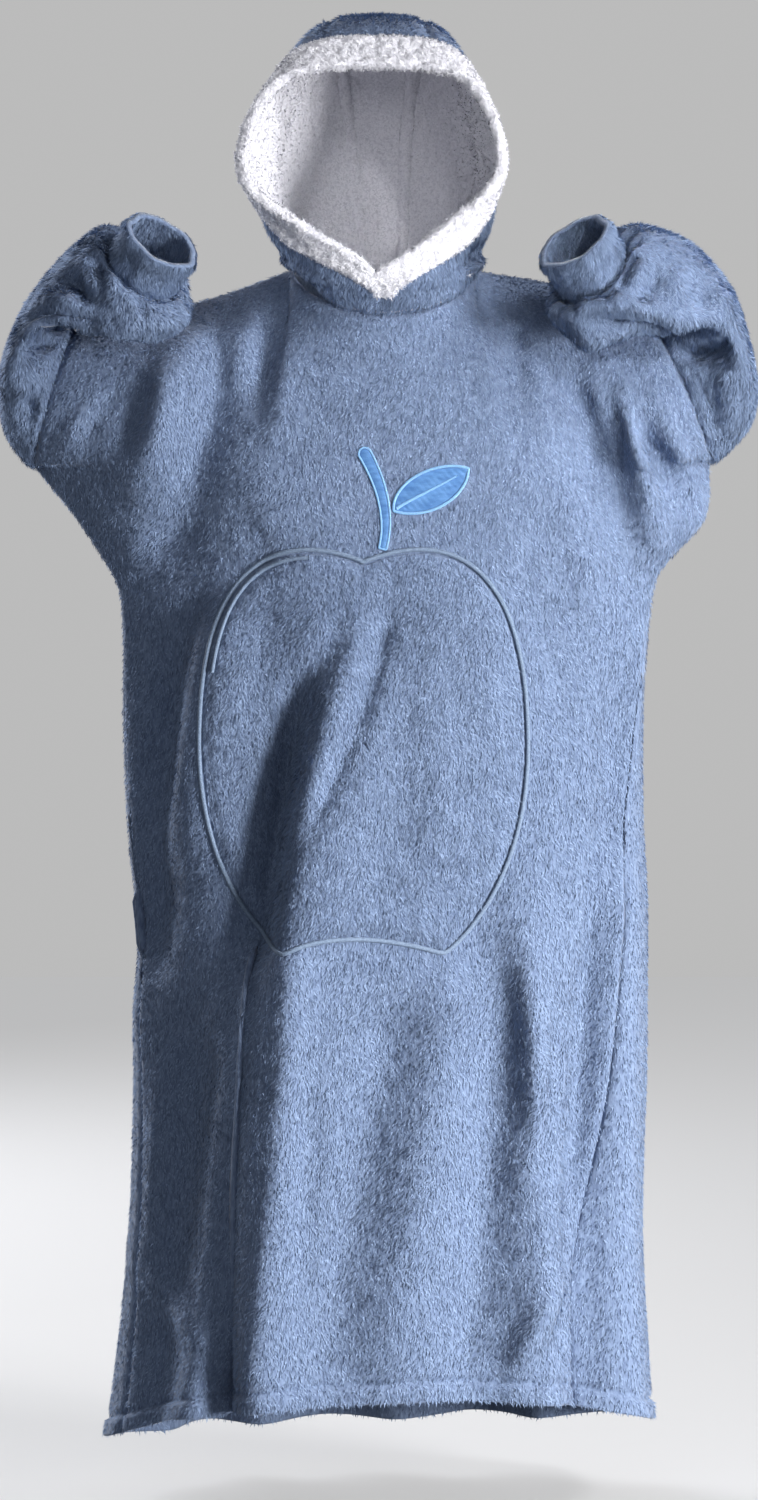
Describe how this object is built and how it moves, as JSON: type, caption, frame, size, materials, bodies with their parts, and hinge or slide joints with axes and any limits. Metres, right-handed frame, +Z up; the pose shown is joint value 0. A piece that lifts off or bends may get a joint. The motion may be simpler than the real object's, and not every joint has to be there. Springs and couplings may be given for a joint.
{
  "type": "wearable blanket hoodie",
  "caption": "Ankle-length oversized hooded blanket in slate-blue plush fleece, worn form, sleeves raised to a sherpa-lined hood, round front pocket with stem and leaf.",
  "frame": {"origin": "the base of the neck, midway between the shoulders and level with them", "axes": "+Z up along the body's height, -Y out of the front with the pocket and face opening, +X to the right of a viewer who faces the front"},
  "size_m": [0.892, 0.4319, 1.7148],
  "materials": {
    "plush": "slate-blue plush fleece with a short soft pile",
    "sherpa": "white curly sherpa fleece",
    "cord": "grey-blue woven piping",
    "satin": "mid-blue satin with a soft sheen"
  },
  "bodies": {
    "root": {"front_panel": "plush", "back_panel": "plush", "sleeve_left": "plush", "sleeve_right": "plush", "cuff_left": "plush", "cuff_right": "plush", "hood_side_left": "plush", "hood_side_right": "plush", "hood_centre": "plush", "hood_lining": "sherpa", "hood_band_left": "sherpa", "hood_band_right": "sherpa", "pocket": "plush", "pocket_piping": "cord", "applique_leaf": "satin", "applique_stem": "satin"}
  },
  "joints": []
}
